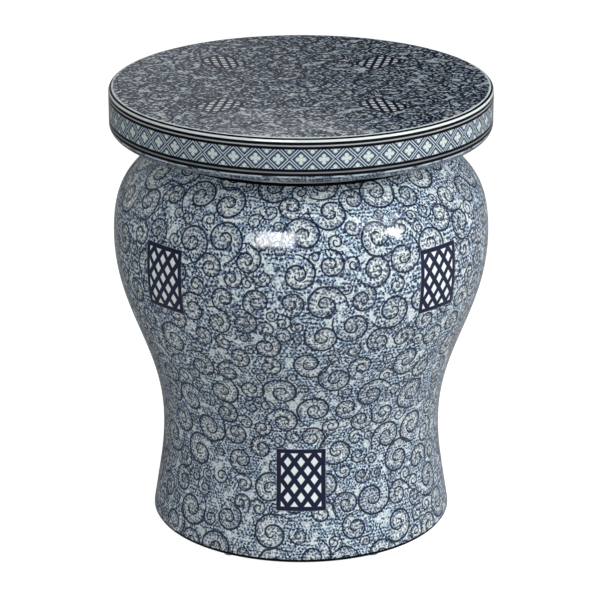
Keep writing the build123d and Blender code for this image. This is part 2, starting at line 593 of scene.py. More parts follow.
@dataclass(frozen=True)
class Brushes:
    """Effects that the painted finishes share, each a node group built once."""

    line_width: float = 0.9
    line_growth: float = 0.06
    tail: float = 0.13
    windings: float = 1.45
    round_start: float = 0.06
    hook_start: float = 0.15
    hook_length: float = 0.62
    hook_bend: float = 1.5
    hook_thinness: float = 0.85
    tail_flare: float = 3.0
    tail_thinness: float = 0.75
    wash_share: float = 0.22
    cream_share: float = 0.46
    outer_dots: float = 0.38
    inner_dots: float = 0.74
    dot_row: float = 4.2
    dot_step: float = 4.4
    dot_radius: float = 0.95
    patch_size: float = 10 * MM
    row_drift: float = 1.7
    dot_wander: float = 0.46
    wave_scale: float = 26.0
    skin_scale: float = 160.0
    crest_half: tuple[float, float] = (24.5, 33.0)
    crest_cells: tuple[int, int] = (3, 3)
    crest_frame: float = 4.6
    crest_bar: float = 4.7

    def curl(self) -> bpy.types.NodeTree:
        """One painted curl: after t turns its line's radius is the first one times e to the minus c t.

        The start keeps its radius for a while, so that the curl looks round, and a short tail runs outwards
        before it. The second winding falls in to the pole as a hook. Between one winding and the next the arm is
        washed along the outer line and cream along the inner one, and has two rows of dots.

        Returns:
            Group that takes the chart, the curl's pole, its turn and how hard the brush is pressed, and gives
            masks for the line, the arm inside it, the cream along the arm and the rows of dots.
        """
        recipe, got = Recipe.shared(
            "painted_curl", {"Chart": "Vector", "Pole": "Vector", "Turn": "Vector", "Press": "Float"},
            {"Line": "Float", "Arm": "Float", "Cream": "Float", "Dots": "Float"})
        chart_x, chart_y, _ = recipe.parts(got["Chart"])
        pole_x, pole_y, scale = recipe.parts(got["Pole"])
        first, phase, hand = recipe.parts(got["Turn"])
        rate = abs(hand)
        across, up = (chart_x - pole_x) * scale, (chart_y - pole_y) * scale
        reach = recipe.length(across, up) * (1.08 - 0.08 * got["Press"])
        angle = recipe.math("ARCTAN2", up, across) / FULL_TURN
        part = recipe.math("FRACT", recipe.math("SIGN", hand) * angle - phase + 2.0)
        held = first * recipe.math("EXPONENT", rate * -self.round_start)
        outer = recipe.math("MINIMUM", held, first * recipe.math("EXPONENT", rate * part * -1.0))
        late = recipe.math("MAXIMUM", part - self.hook_start, 0.0) / self.hook_length
        fall = recipe.math("MAXIMUM", 1.0 - recipe.math("POWER", late, self.hook_bend), 0.0)
        wound = part + 1.0 < self.windings + 0.3 * recipe.math("FRACT", phase * 17.3 + 100.0)
        inner = first * recipe.math("EXPONENT", rate * (part + 1.0) * -1.0) * fall * wound
        before = 1.0 - part
        flick = held * (1.0 + rate * before + self.tail_flare * before * before)
        width = (self.line_width + self.line_growth * first) / 2 * got["Press"]
        hook = wound * recipe.within(width * self.hook_thinness, abs(reach - inner))
        start = (before < self.tail) * recipe.within(width * self.tail_thinness, abs(reach - flick))
        line = recipe.most(recipe.within(width, abs(reach - outer)), hook, start)
        arm, inside = reach < outer, reach < inner
        rim = outer + inside * (inner - outer)
        span = rim - (1.0 - inside) * inner
        depth = rim - reach
        turned = part + inside
        run = (first - first * recipe.math("EXPONENT", rate * turned * -1.0)) / rate - self.dot_row * turned
        size = self.dot_radius * (0.6 + 0.4 * got["Press"])
        aside = (depth - recipe.math("MINIMUM", span * self.outer_dots, self.dot_row)) * 0.75
        beside = recipe.math("PINGPONG", FULL_TURN * run, self.dot_step / 2)
        dots = recipe.within(size, recipe.length(aside, beside))
        aside = depth - span * self.inner_dots
        beside = recipe.math("PINGPONG", FULL_TURN * run + self.dot_step, self.dot_step) * (reach / outer)
        second = recipe.within(size * 0.85, recipe.length(aside, beside))
        dots = recipe.most(dots, second * recipe.smooth(5.0, 7.0, span))
        tone = 0.55 + 0.45 * recipe.smooth(0.15, 0.6, recipe.math("FRACT", phase * 37.7 + 100.0))
        cream = arm * recipe.smooth(span * self.wash_share, span * self.cream_share, depth) * tone
        recipe.give(Line=line, Arm=arm, Cream=cream * recipe.smooth(4.0, 12.0, first),
                    Dots=dots * arm * recipe.smooth(9.0, 11.0, first))
        return recipe.tree

    def stipple(self) -> bpy.types.NodeTree:
        """Scattered dots: square cells, every other row half a cell over, with one dot in each cell.

        A chance number moves each dot from the middle of its cell, and another sets its size. A drift bends the
        rows. Cells are numbered round the turn, so that the last meets the first.

        Returns:
            Group that takes the chart, a drift, cells to one unit of the chart, cells in a full turn, and
            a radius in cells, and gives a mask of the dots.
        """
        recipe, got = Recipe.shared(
            "stipple",
            {"Chart": "Vector", "Drift": "Vector", "Cells": "Float", "Turn": "Float", "Radius": "Float"},
            {"Dots": "Float"})
        x, y, _ = recipe.parts(got["Chart"])
        drift_x, drift_y, _ = recipe.parts(got["Drift"])
        high = y * got["Cells"] + self.row_drift * drift_y
        row = recipe.math("FLOOR", high)
        wide = x * got["Cells"] + self.row_drift * drift_x + 0.5 * recipe.math("FLOORED_MODULO", row, 2.0)
        column = recipe.math("FLOOR", wide)
        cell = recipe.node("ShaderNodeCombineXYZ")
        wrapped = recipe.math("FLOORED_MODULO", column, got["Turn"])
        for socket, number in zip(cell.inputs, (wrapped, row, got["Turn"])):
            recipe.feed(socket, number)
        chance = recipe.node("ShaderNodeTexWhiteNoise")
        recipe.tree.links.new(cell.outputs[0], chance.inputs["Vector"])
        move_x, move_y, grow = recipe.parts(Term(recipe, chance.outputs["Color"]))
        least = (1 - self.dot_wander) / 2
        off_x = wide - column - least - self.dot_wander * move_x
        off_y = high - row - least - self.dot_wander * move_y
        far = recipe.length(off_x, off_y)
        recipe.give(Dots=recipe.within(got["Radius"] * (0.7 + 0.5 * grow), far, 0.07))
        return recipe.tree

    def ground(self, palette: Palette) -> bpy.types.NodeTree:
        """The ground between curls: a blue wash that turns violet and pale in clouds, with cream patches.

        Args:
            palette: Colours of the painting.

        Returns:
            Group that takes the place on the piece, and gives the ground's colour, a mask of the cream patches,
            how hard the brush is pressed and how the colour is mottled.
        """
        recipe, got = Recipe.shared(
            "washed_ground", {"Place": "Vector"},
            {"Colour": "Color", "Patch": "Float", "Press": "Float", "Mottle": "Float"})
        place = got["Place"]
        cloud = recipe.noise(place, 1 / self.patch_size)
        mottle = recipe.smooth(0.36, 0.64, recipe.noise(place, 5 / self.patch_size))
        tint = recipe.smooth(0.4, 0.62, recipe.noise(place, 0.45 / self.patch_size))
        patch = recipe.smooth(0.55, 0.61, cloud)
        colour = recipe.blend(tint * 0.8, palette.wash, palette.violet_wash)
        colour = recipe.blend(mottle * 0.75, colour, palette.pale_wash)
        colour = recipe.blend(patch * 0.9, colour, palette.cream)
        recipe.give(Colour=colour, Patch=patch, Press=0.4 + 1.2 * cloud, Mottle=mottle)
        return recipe.tree

    def crest(self) -> bpy.types.NodeTree:
        """An upright block of trellis in a frame.

        The frame is the band between two upright rectangles. Each bar of the trellis lies where |x|/a + |y|/b
        is 1, measured from the nearest crossing's neighbour by folding x and y back and forth.

        Returns:
            Group that takes a place measured from the ornament's middle, in millimetres, and gives masks for
            its bars and for the pale field behind them.
        """
        recipe, got = Recipe.shared("trellis_crest", {"Place": "Vector"}, {"Bars": "Float", "Field": "Float"})
        x, y, _ = recipe.parts(got["Place"])
        x, y = abs(x), abs(y)
        half_x, half_y = self.crest_half
        edge = recipe.most(x - half_x, y - half_y)
        cell_x, cell_y = ((half - self.crest_frame) / count
                          for half, count in zip(self.crest_half, self.crest_cells))
        span = cell_x * cell_y / math.hypot(cell_x, cell_y)
        folded_x, folded_y = recipe.math("PINGPONG", x, cell_x), recipe.math("PINGPONG", y, cell_y)
        trellis = recipe.within(self.crest_bar / 2, abs(folded_x / cell_x + folded_y / cell_y - 1.0) * span)
        border = recipe.within(self.crest_frame / 2, abs(edge + self.crest_frame / 2))
        field_mask = recipe.within(0.0, edge)
        recipe.give(Bars=recipe.most(border, trellis * field_mask), Field=field_mask)
        return recipe.tree

    def ripple(self) -> bpy.types.NodeTree:
        """Unevenness of a fired glaze: broad waves and a fine skin.

        Returns:
            Group that takes the place on the piece, and gives a height and a roughness.
        """
        recipe, got = Recipe.shared("glaze_ripple", {"Place": "Vector"}, {"Height": "Float", "Rough": "Float"})
        waves = recipe.noise(got["Place"], self.wave_scale, 1.0)
        skin = recipe.noise(got["Place"], self.skin_scale, 2.0)
        recipe.give(Height=waves + skin * 0.03, Rough=0.04 + 0.05 * recipe.smooth(0.3, 0.8, skin))
        return recipe.tree


@dataclass(frozen=True)
class Stripe:
    """A painted line: its middle and width along the outline in millimetres, its colour, and if it is dashed."""

    at: float
    width: float
    colour: Colour
    dashed: bool = False


@dataclass(frozen=True)
class Glaze:
    """Base of the glazed finishes: a glossy, slightly rippled coat over a colour, made rougher by a haze."""

    palette: Palette
    groups: dict[str, bpy.types.NodeTree]
    haze: float = 0.0
    mirror: float = 0.5
    refraction: float = 1.5
    bump_strength: float = 0.05
    bump_depth: float = 4 * MM

    def colour(self, recipe: Recipe) -> Term:
        """Pale glaze with a faint cloudiness."""
        cloud = recipe.noise(recipe.place(), 30.0)
        return recipe.blend(recipe.smooth(0.35, 0.7, cloud), self.palette.glaze_dull, self.palette.glaze_clear)

    def shine(self, recipe: Recipe) -> Number:
        """How strongly the coat mirrors: evenly all over."""
        return self.mirror

    def material(self, name: str) -> bpy.types.Material:
        """Builds the material.

        Args:
            name: Name of the material.

        Returns:
            The material, with its colour, gloss and ripple.
        """
        made, recipe, shader = new_finish(name)
        shader.inputs["IOR"].default_value = self.refraction
        recipe.feed(shader.inputs["Base Color"], self.colour(recipe))
        ripple = recipe.use(self.groups["ripple"], Place=recipe.place())
        recipe.feed(shader.inputs["Roughness"], ripple["Rough"] + self.haze)
        recipe.feed(shader.inputs["Specular IOR Level"], self.shine(recipe))
        bump = recipe.node("ShaderNodeBump")
        bump.inputs["Strength"].default_value = self.bump_strength
        bump.inputs["Distance"].default_value = self.bump_depth
        recipe.feed(bump.inputs["Height"], ripple["Height"])
        recipe.feed(shader.inputs["Normal"], Term(recipe, bump.outputs[0]))
        return made


@dataclass(frozen=True)
class ScrollPaint(Glaze):
    """Cobalt scrolls on a stippled ground, with crests and border lines.

    A full turn of the chart is as long as the turn, and has so many of the common dots. Specks and dots are
    kinds of scattered dots, pale and dark: how many for each of the common ones along a line, and the radius
    in cells.
    """

    stripes: tuple[Stripe, ...] = ()
    crested: bool = True
    turn: float = FULL_TURN
    dots_around: int = 216
    press: float = 1.0
    dot_size: float = 1.0
    speck_size: float = 1.0
    bare_cream: float = 0.15
    bare_patch: float = 0.6
    arm_wash: float = 0.3
    line_dulling: float = 0.42
    dot_ink: float = 0.94
    line_ink: float = 0.95
    drift_scale: float = 70.0
    streak_scale: float = 60.0
    specks: tuple[tuple[float, float], ...] = ((1.25, 0.32), (1.05, 0.28))
    dots: tuple[tuple[float, float], ...] = ((1.35, 0.28), (1.0, 0.24))

    def speckle(self, recipe: Recipe, drift: Term, kinds: tuple[tuple[float, float], ...], size: float) -> Term:
        """Scattered dots over the chart, a layer for each kind.

        Args:
            recipe: The finish to write in.
            drift: How the rows of dots bend.
            kinds: The kinds of dots.
            size: Factor on every radius.

        Returns:
            Mask of the dots.
        """
        masks = []
        for share, radius in kinds:
            around = round(self.dots_around * share)
            masks.append(recipe.use(self.groups["stipple"], Chart=recipe.stored("chart"), Drift=drift,
                                    Cells=around / self.turn, Turn=float(around), Radius=radius * size)["Dots"])
        return recipe.most(*masks)

    def scrolls(self, recipe: Recipe) -> Term:
        """Ground with its dots, then the two nearest curls over it: arm, cream, dots and line."""
        palette, chart = self.palette, recipe.stored("chart")
        ground = recipe.use(self.groups["ground"], Place=recipe.place())
        drift = recipe.noise(recipe.place(), self.drift_scale, 1.0, "Color")
        specks = self.speckle(recipe, drift, self.specks, self.speck_size)
        colour = recipe.blend(specks, ground["Colour"], palette.pale)
        dots = self.speckle(recipe, drift, self.dots, self.dot_size)
        dots = dots * (1.0 - self.bare_patch * ground["Patch"])
        mottle = ground["Mottle"]
        lines = []
        for slot in ("curl_a", "curl_b"):
            curl = recipe.use(self.groups["curl"], Chart=chart, Pole=recipe.stored(slot),
                              Turn=recipe.stored(slot + "_turn"), Press=ground["Press"] * self.press)
            colour = recipe.blend(curl["Arm"] * self.arm_wash, colour, palette.violet_wash)
            colour = recipe.blend(curl["Cream"] * (0.5 + 0.4 * mottle), colour, palette.cream)
            under = dots * (1.0 - curl["Cream"] * self.bare_cream)
            dots = recipe.most(under, curl["Dots"] * (0.65 + 0.35 * mottle))
            lines.append(curl["Line"])
        colour = recipe.blend(dots * self.dot_ink, colour, palette.ink)
        return recipe.blend(recipe.most(*lines) * self.line_ink, colour, palette.ink)

    @staticmethod
    def line_mask(recipe: Recipe, stripe: Stripe) -> Term:
        """1 on a border line, and 0 elsewhere."""
        _, _, run = recipe.parts(recipe.stored("chart"))
        return recipe.within(stripe.width / 2, abs(run - stripe.at))

    def bordered(self, recipe: Recipe, colour: Term) -> Term:
        """The border lines over a colour."""
        for stripe in self.stripes:
            mask = self.line_mask(recipe, stripe)
            if stripe.dashed:
                mask = mask * recipe.smooth(0.4, 0.52, recipe.noise(recipe.place(), self.drift_scale))
            colour = recipe.blend(mask, colour, stripe.colour)
        return colour

    def shine(self, recipe: Recipe) -> Number:
        """How strongly the coat mirrors: little on the dark border lines, and evenly elsewhere."""
        dark = [self.line_mask(recipe, stripe) for stripe in self.stripes if not stripe.dashed]
        return self.mirror - self.line_dulling * recipe.most(*dark) if dark else self.mirror

    def colour(self, recipe: Recipe) -> Term:
        """The whole painting: scrolls, crests and borders."""
        colour = self.scrolls(recipe)
        if self.crested:
            crest = recipe.use(self.groups["crest"], Place=recipe.stored("crest"))
            colour = recipe.blend(crest["Field"], colour, self.palette.cream)
            colour = recipe.blend(crest["Bars"], colour, self.palette.crest_ink)
        return self.bordered(recipe, colour)


@dataclass(frozen=True)
class RimPaint(ScrollPaint):
    """The seat's rim: a band of lozenges with four-petalled flowers between lines, over a strip of scrolls."""

    crested: bool = False
    band_top: float = 0.0
    band_foot: float = 0.0
    lozenges: int = 56
    seat_radius: float = 192.0
    petal_reach: float = 3.1
    petal_radius: float = 2.0
    heart_reach: float = 2.5
    bar_middle: float = 0.9
    bar_width: float = 1.6
    ink_width: float = 1.2
    inner_ink: float = 2.2
    grey_width: float = 4.0
    strip_gap: float = 4.5
    # Share of painted shade laid over the scrolls on the rim's underside.
    underside_shade: float = 0.6
    streak_squeeze: float = 12.0

    def lattice(self, recipe: Recipe) -> Term:
        """A lattice of lozenges: |x| + |y| from each middle gives the lines, and four round petals the flower."""
        palette = self.palette
        pitch = FULL_TURN * self.seat_radius / self.lozenges
        around, _, run = recipe.parts(recipe.stored("chart"))
        x = recipe.math("PINGPONG", around + pitch * 1000, pitch / 2)
        y = abs(run - (self.band_top + self.band_foot) / 2)
        flip = x + y > pitch / 2
        x, y = abs(x - flip * pitch / 2), abs(y - flip * pitch / 2)
        inward = (pitch / 2 - x - y) / math.sqrt(2)
        bar = recipe.within(self.bar_width / 2, abs(inward - self.bar_middle))
        colour = recipe.blend(bar, palette.lattice_blue, palette.lattice_pale)
        petals = recipe.most(*(recipe.within(self.petal_radius, recipe.length(*step))
                               for step in ((x - self.petal_reach, y), (x, y - self.petal_reach))))
        petals = recipe.most(petals, recipe.within(self.heart_reach, x + y))
        colour = recipe.blend(petals, colour, palette.flower)
        ink = recipe.most(*(recipe.within(self.ink_width / 2, gap)
                            for gap in (inward, abs(inward - self.inner_ink))))
        return recipe.blend(ink * self.line_ink, colour, palette.ink)

    def colour(self, recipe: Recipe) -> Term:
        """White glaze, the lattice band, the strip of scrolls below it darkened with streaked painted shade, and
        the lines.
        """
        _, _, run = recipe.parts(recipe.stored("chart"))
        in_band = (run > self.band_top) * (run < self.band_foot)
        colour = recipe.blend(in_band, self.palette.white, self.lattice(recipe))
        half = self.grey_width / 2
        colour = recipe.blend(abs(run - self.band_top + half) < half, colour, self.palette.upper_grey)
        colour = recipe.blend(abs(run - self.band_foot - half) < half, colour, self.palette.lower_grey)
        # Painted shade: below the band the scrolls are blended towards streaked dark greys, for the shade on the
        # rim's lower rounding.
        below = run > self.band_foot + self.strip_gap
        flattened = recipe.scaled(recipe.place(), (1.0, 1.0, self.streak_squeeze))
        streaks = recipe.smooth(0.44, 0.6, recipe.noise(flattened, self.streak_scale, 1.0))
        underside_shade = recipe.blend(streaks, self.palette.underside_shade_dark, self.palette.underside_shade_pale)
        colour = recipe.blend(below, colour, recipe.blend(self.underside_shade, self.scrolls(recipe), underside_shade))
        return self.bordered(recipe, colour)


@dataclass(frozen=True)
class Speckled:
    """A dry speckled finish, such as rubber or unglazed clay: two colours, grains to the metre, and roughness.

    The roughness is its least value and how much the grain adds to it.
    """

    dark: Colour
    light: Colour
    grains: float
    rough: tuple[float, float]

    def material(self, name: str) -> bpy.types.Material:
        """Builds the material: speckled colour and a matt skin."""
        made, recipe, shader = new_finish(name)
        grain = recipe.noise(recipe.place(), self.grains, 3.0)
        colour = recipe.blend(recipe.smooth(0.3, 0.7, grain), self.dark, self.light)
        recipe.feed(shader.inputs["Base Color"], colour)
        recipe.feed(shader.inputs["Roughness"], self.rough[0] + self.rough[1] * grain)
        return made


def into_scene(name: str, data: bpy.types.ID) -> bpy.types.Object:
    """Makes an object of a mesh, a lamp or a camera, and puts it into the scene."""
    made = bpy.data.objects.new(name, data)
    bpy.context.scene.collection.objects.link(made)
    return made


def add_piece(mesh: bpy.types.Mesh, body: str, nodes: tuple[str, ...]) -> bpy.types.Object:
    """Puts a finished mesh into the scene as a piece of the stool.

    Args:
        mesh: The mesh, in its place; the piece takes its name.
        body: Body of the frame that it moves with.
        nodes: Solids that it stands for.

    Returns:
        The piece.
    """
    piece = into_scene(mesh.name, mesh)
    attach(piece, body)
    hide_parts(*nodes)
    log.info("%s: %d faces on %s", piece.name, len(mesh.polygons), body)
    return piece


@dataclass
class JarBody:
    """The hollow jar: foot ring, waist, shoulder and neck, turned in one wall. Lengths are in millimetres."""

    foot_base: float = 2.0
    foot_radius: float = 154.5
    foot_flare: float = 9.2
    foot_inner_radius: float = 134.5
    foot_ring_top: float = 26.0
    foot_edge_round: float = 4.0
    foot_inner_round: float = 3.0
    waist_radius: float = 142.4
    waist_height: float = 101.0
    shoulder_radius: float = 189.7
    shoulder_height: float = 303.5
    neck_root_height: float = 398.0
    neck_slope: float = 42.0
    neck_radius: float = 137.5
    mouth_radius: float = 125.5
    rim_height: float = 444.0
    wall: float = 7.0
    neck_root_round: float = 5.0
    throat_round: float = 4.0
    rim_round: float = 2.0
    columns: int = 400
    upper_crest_height: float = 298.0
    lower_crest_height: float = 89.0
    lower_row_angle: float = 0.0
    upper_row_angle: float = math.pi / 4
    foot_hold: float = 56.0
    waist_hold: float = 28.0
    belly_hold: float = 85.0
    below_shoulder_hold: float = 77.0
    above_shoulder_hold: float = 58.0
    neck_hold: float = 45.0
    ring_hold: float = 20.0
    side_rings: int = 161
    hollow_rings: int = 40
    foot_line_width: float = 5.0
    # Width of the dark band at the neck's root, which is also painted shade for the gap under the seat.
    neck_band_and_shade_width: float = 7.0
    haze: float = 0.05
    place_seed: int = 11
    curl_seed: int = 23
    curl_places: int = 60000
    flat_front: float = 0.524
    flat_back: float = 0.044
    flat_half: float = 0.472
    flat_rest: float = 0.032

    def outer(self) -> np.ndarray:
        """The painted side, from the foot's edge to the root of the neck: three smooth curves in a row."""
        lean = math.radians(self.foot_flare)
        foot = (self.foot_radius, self.foot_base)
        hold = (foot[0] - self.foot_hold * math.sin(lean), foot[1] + self.foot_hold * math.cos(lean))
        edge = rounded((self.foot_inner_radius, self.foot_base), foot, hold, self.foot_edge_round, 9)
        waist = (self.waist_radius, self.waist_height)
        lower = bezier(foot, hold, (waist[0], waist[1] - self.waist_hold), waist, 400)
        lower = lower[run_of(lower) > np.linalg.norm(edge[-1] - foot)]
        return np.concatenate([edge, lower, self.belly(0.0)[1:], self.shoulder(0.0, self.neck_radius)[1:]])

    def belly(self, inset: float) -> np.ndarray:
        """The curve from waist to shoulder, moved inwards by an inset."""
        low = (self.waist_radius - inset, self.waist_height)
        high = (self.shoulder_radius - inset, self.shoulder_height)
        return bezier(low, (low[0], low[1] + self.belly_hold), (high[0], high[1] - self.below_shoulder_hold),
                      high, 400)

    def shoulder(self, inset: float, end_radius: float) -> np.ndarray:
        """The curve from the shoulder to the root of the neck, moved inwards by an inset."""
        slope = math.radians(self.neck_slope)
        low = (self.shoulder_radius - inset, self.shoulder_height)
        end = (end_radius, self.neck_root_height - inset)
        hold = (end[0] + self.neck_hold * math.cos(slope), end[1] - self.neck_hold * math.sin(slope))
        return bezier(low, (low[0], low[1] + self.above_shoulder_hold), hold, end, 400)

    def outline(self) -> Outline:
        """The whole outline as a loop: up the outside, over the neck's rim, down the inside, across the foot."""
        made = Outline()
        outer = self.outer()
        root = rounded(outer[-30], outer[-1], (self.neck_radius, self.rim_height), self.neck_root_round, 7)
        start = np.argmin(np.hypot(*(outer - root[0]).T))
        side = np.concatenate([outer[:start], root[:1]])
        made.add(evenly(side, self.side_rings), Zone.PAINTED)
        made.add(root, Zone.PLAIN)
        mouth_root = (self.mouth_radius, self.neck_root_height - self.wall)
        rim_out = (self.neck_radius, self.rim_height)
        rim_in = (self.mouth_radius, self.rim_height)
        made.round_off(rounded(root[-1], rim_out, rim_in, self.rim_round, 5), 4, Zone.PLAIN)
        made.round_off(rounded(rim_out, rim_in, mouth_root, self.rim_round, 5), 4, Zone.PLAIN)
        inside = self.shoulder(self.wall, self.mouth_radius)[::-1]
        throat = rounded(rim_in, mouth_root, inside[30], self.throat_round, 6)
        made.round_off(throat, 5, Zone.PLAIN)
        inside = inside[run_of(inside) > np.linalg.norm(throat[-1] - mouth_root)]
        low = (self.waist_radius - self.wall, self.waist_height)
        ring_top = (self.foot_inner_radius, self.foot_ring_top)
        foot = bezier(low, (low[0], low[1] - self.waist_hold), (ring_top[0], ring_top[1] + self.ring_hold),
                      ring_top, 100)
        hollow = np.concatenate([throat[-1:], inside, self.belly(self.wall)[::-1][1:], foot[1:]])
        made.add(evenly(hollow, self.hollow_rings), Zone.PLAIN)
        land_in = (self.foot_inner_radius, self.foot_base)
        corner = rounded(ring_top, land_in, (self.foot_radius, self.foot_base), self.foot_inner_round, 5)
        made.add(straight(ring_top, corner[0], 4), Zone.PLAIN)
        made.add(corner, Zone.BISCUIT)
        made.add(straight(corner[-1], outer[0], 5), Zone.BISCUIT)
        return made

    def build(self, groups: dict[str, bpy.types.NodeTree], palette: Palette) -> bpy.types.Object:
        """Turns the jar, lays its scrolls and crests, and dresses it.

        Args:
            groups: Effects that the finishes share.
            palette: Colours of the painting.

        Returns:
            The jar.
        """
        lathe = Lathe("jar", self.outline(), self.columns, True)
        painted_rows = int(np.sum(lathe.zones == Zone.PAINTED.value))
        loop = np.concatenate([lathe.line, lathe.line[:1]])
        run = run_of(loop)
        rise = np.concatenate([[0.0], np.cumsum(np.diff(run) / ((loop[1:, 0] + loop[:-1, 0]) / 2))])
        lathe.hold_corners("chart", np.column_stack([lathe.angle, rise[lathe.rows], run[lathe.rows]]))
        self.lay_scrolls(lathe, rise, run, painted_rows)
        self.lay_crests(lathe, run)
        self.lay_out(lathe, run, painted_rows)
        # Dark stripes: a line along the foot's edge, and a band at the neck's root that is also painted shade for
        # the gap under the seat.
        edges = (Stripe(self.foot_edge_round, self.foot_line_width, palette.line_ink),
                 Stripe(run[painted_rows], self.neck_band_and_shade_width, palette.line_ink))
        scrolls = ScrollPaint(palette, groups, haze=self.haze, stripes=edges)
        clay = Speckled(paint_colour(176, 168, 156), paint_colour(206, 200, 190), 900.0, (0.75, 0.2))
        lathe.dress(lathe.zones[lathe.rows[lathe.starts]], {
            Zone.PAINTED: scrolls.material("jar_scroll_paint"),
            Zone.PLAIN: Glaze(palette, groups).material("jar_plain_glaze"),
            Zone.BISCUIT: clay.material("jar_biscuit")})
        return add_piece(lathe.mesh, "jar", ("jar_body",))

    def lay_scrolls(self, lathe: Lathe, rise: np.ndarray, run: np.ndarray, painted_rows: int) -> None:
        """Spreads curls over the side, on a chart of angle against length over radius, which keeps them round.

        Args:
            lathe: The turned jar.
            rise: Chart height at each outline point.
            run: Length along the outline at each point.
            painted_rows: How many rows of faces are painted.
        """
        rng = np.random.default_rng(self.place_seed)
        side = lathe.line[:painted_rows + 1]
        weight = np.concatenate([[0.0], np.cumsum(side[1:, 0] * np.diff(run[:len(side)]))])
        steps = np.arange(len(side))
        at = np.interp(rng.uniform(0, weight[-1], self.curl_places), weight, steps)
        points = np.column_stack([rng.uniform(-math.pi, math.pi, len(at)),
                                  np.interp(at, steps, rise[:len(side)])])
        layout = ScrollLayout(seed=self.curl_seed, around=FULL_TURN)
        layout.lay(points, np.interp(at, steps, side[:, 0]), FULL_TURN * weight[-1])
        places = lathe.face_mean(np.column_stack([lathe.angle, rise[lathe.rows]]))
        layout.mark(lathe, places, lathe.rows[lathe.starts] < painted_rows)
        log.info("jar: %d curls", len(layout.turns))

    def lay_crests(self, lathe: Lathe, run: np.ndarray) -> None:
        """Measures every face corner from the middle of the crest nearest to it, four above and four below.

        Args:
            lathe: The turned jar.
            run: Length along the outline at each point.
        """
        line, rows = lathe.line, lathe.rows
        height = line[:, 1]
        belly = np.argmax(line[:self.side_rings, 0])
        between = (self.upper_crest_height + self.lower_crest_height) / 2
        split = run[np.argmin(np.abs(height[:belly] - between))]
        upper_row = np.argmin(np.abs(height[:belly + 40] - self.upper_crest_height))
        lower_row = np.argmin(np.abs(height[:belly] - self.lower_crest_height))
        face_run = lathe.face_mean(run[rows])
        upper = np.repeat(face_run > split, lathe.sides)
        middle = np.where(upper, run[upper_row], run[lower_row])
        radius = np.where(upper, line[upper_row, 0], line[lower_row, 0])
        turned = lathe.angle - np.where(upper, self.upper_row_angle, self.lower_row_angle)
        quarter = FULL_TURN / 4
        turned -= quarter * np.repeat(np.round(lathe.face_mean(turned) / quarter), lathe.sides)
        lathe.hold_corners("crest", np.column_stack([turned * radius, run[rows] - middle, 0 * turned]))

    def lay_out(self, lathe: Lathe, run: np.ndarray, painted_rows: int) -> None:
        """Flat layout: the front and back halves of the painted side above each other, and the rest in a strip.

        Args:
            lathe: The turned jar.
            run: Length along the outline at each point.
            painted_rows: How many rows of faces are painted.
        """
        rows = lathe.rows
        painted = np.repeat(rows[lathe.starts] < painted_rows, lathe.sides)
        front, turned = lathe.half_turns()
        across = np.where(painted, turned / math.pi, lathe.angle / FULL_TURN + 0.5)
        foot = np.where(front, self.flat_front, self.flat_back)
        half = foot + self.flat_half * (run[rows] / run[painted_rows])
        rest = (run[rows] - run[painted_rows]) / (run[-1] - run[painted_rows])
        height = np.where(painted, half, FLAT_MARGIN + self.flat_rest * rest)
        lathe.lay_flat(np.column_stack([FLAT_MARGIN + FLAT_WIDTH * across, height]))


